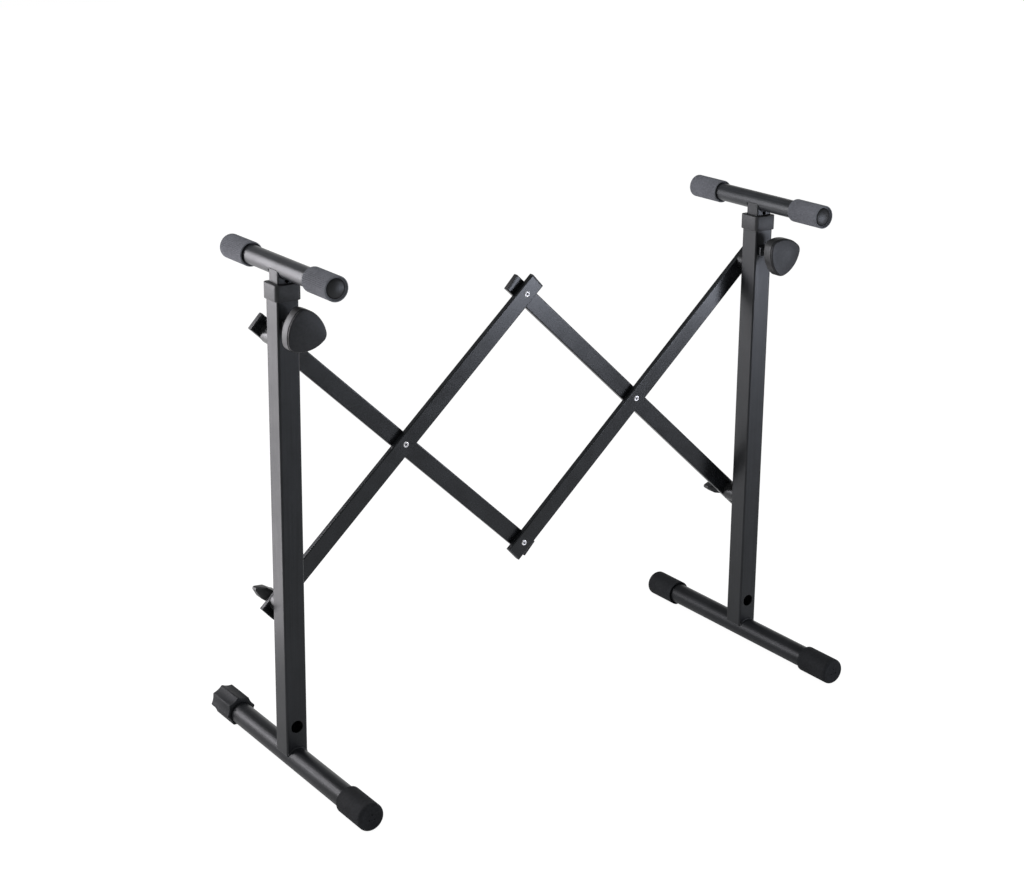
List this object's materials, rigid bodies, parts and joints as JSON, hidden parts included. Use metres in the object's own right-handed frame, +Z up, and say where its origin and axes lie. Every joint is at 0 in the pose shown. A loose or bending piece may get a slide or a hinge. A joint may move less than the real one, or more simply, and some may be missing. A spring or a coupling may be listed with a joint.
{
  "type": "folding keyboard stand",
  "caption": "Folding keyboard stand: a scissor lattice joins end frames whose padded support bars rise and clamp on telescoping masts.",
  "frame": {"origin": "on the floor, midway between the two posts and midway between the front and rear feet", "axes": "+X from the left post to the right post, the clamp knobs face -Y, +Z up"},
  "size_m": [0.8195, 0.406, 0.685],
  "materials": {
    "black_steel": "satin powder coat",
    "black_plastic": "fine-grained matte",
    "rubber": "matte",
    "grip_rubber": "matte, finely knurled",
    "grey_plastic": "smooth",
    "zinc": "zinc plated"
  },
  "bodies": {
    "left_frame": {"left_base_tube": "black_steel", "left_post": "black_steel", "left_collar": "black_plastic", "left_front_foot": "rubber", "left_clamp_boss": "black_steel", "left_pivot_bush": "black_plastic", "left_pivot_screw": "zinc", "left_pivot_washer": "zinc"},
    "levelling": {"left_levelling_foot": "black_plastic"},
    "left_top": {"left_mast": "black_steel", "left_support_bar": "black_steel", "left_grips": "grip_rubber", "left_bar_plugs": "black_plastic", "left_mast_guide": "grey_plastic"},
    "left_clamp": {"left_knob": "black_plastic", "left_knob_cover": "black_plastic", "left_clamp_screw": "zinc"},
    "left_falling": {"left_falling_arm": "black_steel", "left_falling_caps": "black_plastic"},
    "left_rising": {"left_rising_arm": "black_steel", "left_rising_caps": "black_plastic", "left_arm_rivets": "zinc", "left_arm_washers": "grey_plastic"},
    "left_slide": {"left_slide_plate": "black_steel", "left_slide_bolt": "zinc", "left_slide_bush": "black_plastic", "left_slide_washer": "zinc"},
    "left_wing": {"left_wing_nut": "black_plastic"},
    "right_rising": {"right_rising_arm": "black_steel", "right_rising_caps": "black_plastic", "right_arm_rivets": "zinc", "right_arm_washers": "grey_plastic"},
    "right_falling": {"right_falling_arm": "black_steel", "right_falling_caps": "black_plastic"},
    "right_slide": {"right_slide_plate": "black_steel", "right_slide_bolt": "zinc", "right_slide_bush": "black_plastic", "right_slide_washer": "zinc"},
    "right_wing": {"right_wing_nut": "black_plastic"},
    "right_frame": {"right_base_tube": "black_steel", "right_post": "black_steel", "right_collar": "black_plastic", "right_front_foot": "rubber", "right_rear_foot": "rubber", "right_clamp_boss": "black_steel", "right_pivot_bush": "black_plastic", "right_pivot_screw": "zinc", "right_pivot_washer": "zinc"},
    "right_top": {"right_mast": "black_steel", "right_support_bar": "black_steel", "right_grips": "grip_rubber", "right_bar_plugs": "black_plastic", "right_mast_guide": "grey_plastic"},
    "right_clamp": {"right_knob": "black_plastic", "right_knob_cover": "black_plastic", "right_clamp_screw": "zinc"}
  },
  "joints": [
    {"name": "fold", "type": "hinge", "parent": "left_frame", "child": "left_falling", "pos_m": [-0.38239, 0.0386, 0.578], "axis": [0, 1, 0], "range_deg": [-17.9, 34.1]},
    {"name": "left_crossing", "type": "hinge", "parent": "left_falling", "child": "left_rising", "pos_m": [-0.19119, 0.034, 0.40033], "axis": [0, 1, 0], "range_deg": [-68.3, 35.9]},
    {"name": "centre_top", "type": "hinge", "parent": "left_rising", "child": "right_falling", "pos_m": [0, 0.034, 0.578], "axis": [0, 1, 0], "range_deg": [-35.9, 68.3]},
    {"name": "centre_bottom", "type": "hinge", "parent": "left_falling", "child": "right_rising", "pos_m": [0, 0.034, 0.22266], "axis": [0, 1, 0], "range_deg": [-68.3, 35.9]},
    {"name": "right_upper_pivot", "type": "hinge", "parent": "right_rising", "child": "right_frame", "pos_m": [0.38239, 0.0294, 0.578], "axis": [0, 1, 0], "range_deg": [-18, 34.2]},
    {"name": "left_lower_pivot", "type": "hinge", "parent": "left_rising", "child": "left_slide", "pos_m": [-0.38239, 0.0294, 0.22266], "axis": [0, 1, 0], "range_deg": [-18, 34.2]},
    {"name": "right_lower_pivot", "type": "hinge", "parent": "right_falling", "child": "right_slide", "pos_m": [0.38239, 0.0386, 0.22266], "axis": [0, 1, 0], "range_deg": [-34.2, 18]},
    {"name": "left_height", "type": "slide", "parent": "left_frame", "child": "left_top", "axis": [0, 0, 1], "range_m": [0, 0.351]},
    {"name": "left_clamp_turn", "type": "hinge", "parent": "left_frame", "child": "left_clamp", "pos_m": [-0.38239, -0.043, 0.6], "axis": [0, 1, 0], "range_deg": [-720, 120]},
    {"name": "left_wing_turn", "type": "hinge", "parent": "left_slide", "child": "left_wing", "pos_m": [-0.38239, 0.0454, 0.22266], "axis": [0, -1, 0], "range_deg": [-720, 120]},
    {"name": "right_height", "type": "slide", "parent": "right_frame", "child": "right_top", "axis": [0, 0, 1], "range_m": [0, 0.351]},
    {"name": "right_clamp_turn", "type": "hinge", "parent": "right_frame", "child": "right_clamp", "pos_m": [0.38239, -0.043, 0.6], "axis": [0, 1, 0], "range_deg": [-720, 120]},
    {"name": "right_wing_turn", "type": "hinge", "parent": "right_slide", "child": "right_wing", "pos_m": [0.38239, 0.0546, 0.22266], "axis": [0, -1, 0], "range_deg": [-720, 120]},
    {"name": "levelling_turn", "type": "hinge", "parent": "left_frame", "child": "levelling", "pos_m": [-0.38239, 0.17, 0.018], "axis": [0, 1, 0], "continuous": true}
  ],
  "couplings": [
    {"joint": "left_crossing", "follows": "fold", "ratio": -2},
    {"joint": "centre_top", "follows": "fold", "ratio": 2},
    {"joint": "centre_bottom", "follows": "fold", "ratio": -2},
    {"joint": "right_upper_pivot", "follows": "fold", "ratio": 1},
    {"joint": "left_lower_pivot", "follows": "fold", "ratio": 1},
    {"joint": "right_lower_pivot", "follows": "fold", "ratio": -1}
  ]
}
